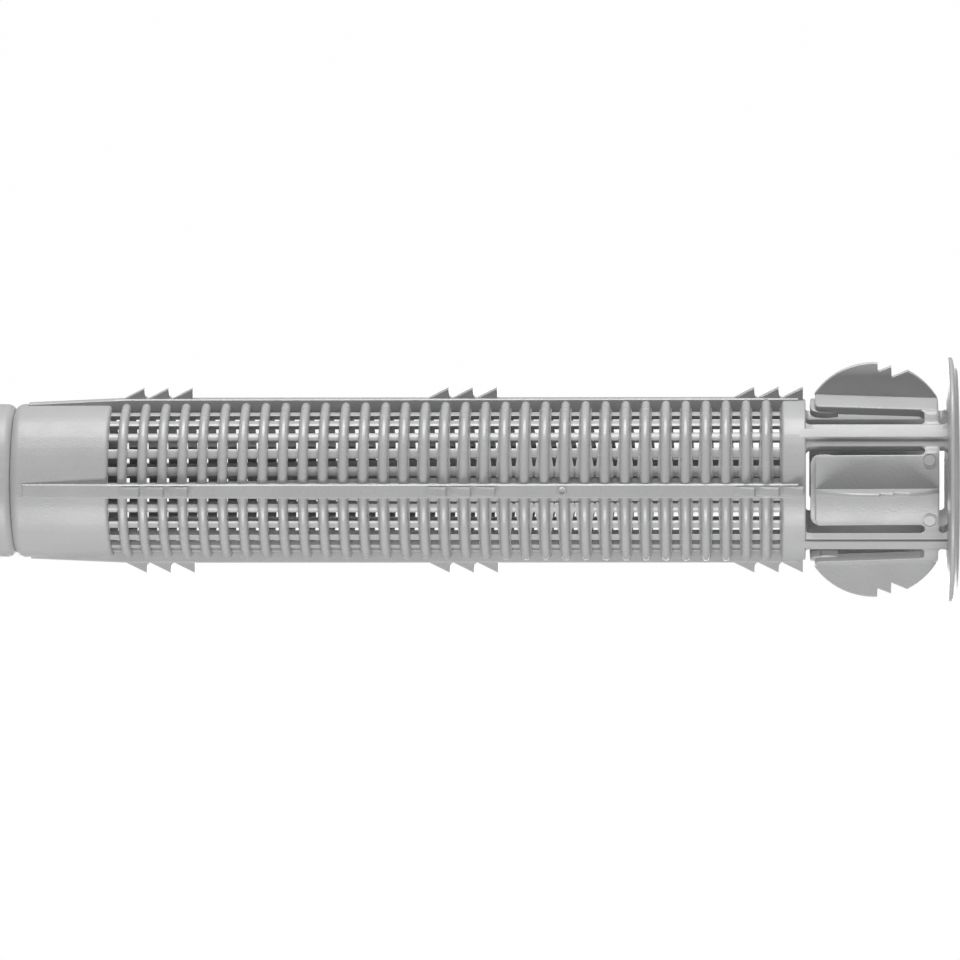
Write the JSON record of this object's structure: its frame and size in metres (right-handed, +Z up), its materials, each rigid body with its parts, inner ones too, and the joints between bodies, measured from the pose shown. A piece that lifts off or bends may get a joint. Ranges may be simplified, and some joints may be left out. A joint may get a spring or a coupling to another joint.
{
  "type": "wall anchor",
  "caption": "Perforated plastic anchor sleeve with a wall collar, springy toothed centring wings, barbed ribs and a closed tip, for a threaded rod set in mortar.",
  "frame": {"origin": "centre of the collar's seat face, on the sleeve's axis, at the mouth of the drill hole", "axes": "+X out of the wall along the sleeve's axis, towards the collar's outer face; +Z up through the top wing and rib; -Y through the front wing and rib"},
  "size_m": [0.1311, 0.0292, 0.0292],
  "materials": {
    "sleeve_plastic": "light grey moulded polymer, satin",
    "collar_plastic": "light grey moulded polymer, satin",
    "wing_plastic": "light grey moulded polymer, satin with spark-eroded grain",
    "screen_plastic": "light grey moulded polymer, satin",
    "nose_plastic": "light grey moulded polymer, spark-eroded grain"
  },
  "bodies": {
    "sleeve": {"collar_flange": "collar_plastic", "strut_front_top": "sleeve_plastic", "strut_rear_top": "sleeve_plastic", "strut_rear_bottom": "sleeve_plastic", "strut_front_bottom": "sleeve_plastic", "throat_ring": "sleeve_plastic", "ribbed_ring_cage": "screen_plastic", "screen_bars": "screen_plastic", "nose_section": "nose_plastic", "end_cap": "nose_plastic"},
    "front_wing": {"wing_front": "wing_plastic"},
    "top_wing": {"wing_top": "wing_plastic"},
    "rear_wing": {"wing_rear": "wing_plastic"},
    "bottom_wing": {"wing_bottom": "wing_plastic"}
  },
  "joints": [
    {"name": "front_wing_flex", "type": "hinge", "parent": "sleeve", "child": "front_wing", "pos_m": [-0.00195, -0.00935, 0], "axis": [0, 0, -1], "range_deg": [-4, 14], "stiffness_Nm_per_rad": 0.1},
    {"name": "top_wing_flex", "type": "hinge", "parent": "sleeve", "child": "top_wing", "pos_m": [-0.00195, 0, 0.00935], "axis": [0, -1, 0], "range_deg": [-4, 14], "stiffness_Nm_per_rad": 0.1},
    {"name": "rear_wing_flex", "type": "hinge", "parent": "sleeve", "child": "rear_wing", "pos_m": [-0.00195, 0.00935, 0], "axis": [0, 0, 1], "range_deg": [-4, 14], "stiffness_Nm_per_rad": 0.1},
    {"name": "bottom_wing_flex", "type": "hinge", "parent": "sleeve", "child": "bottom_wing", "pos_m": [-0.00195, 0, -0.00935], "axis": [0, 1, 0], "range_deg": [-4, 14], "stiffness_Nm_per_rad": 0.1}
  ]
}
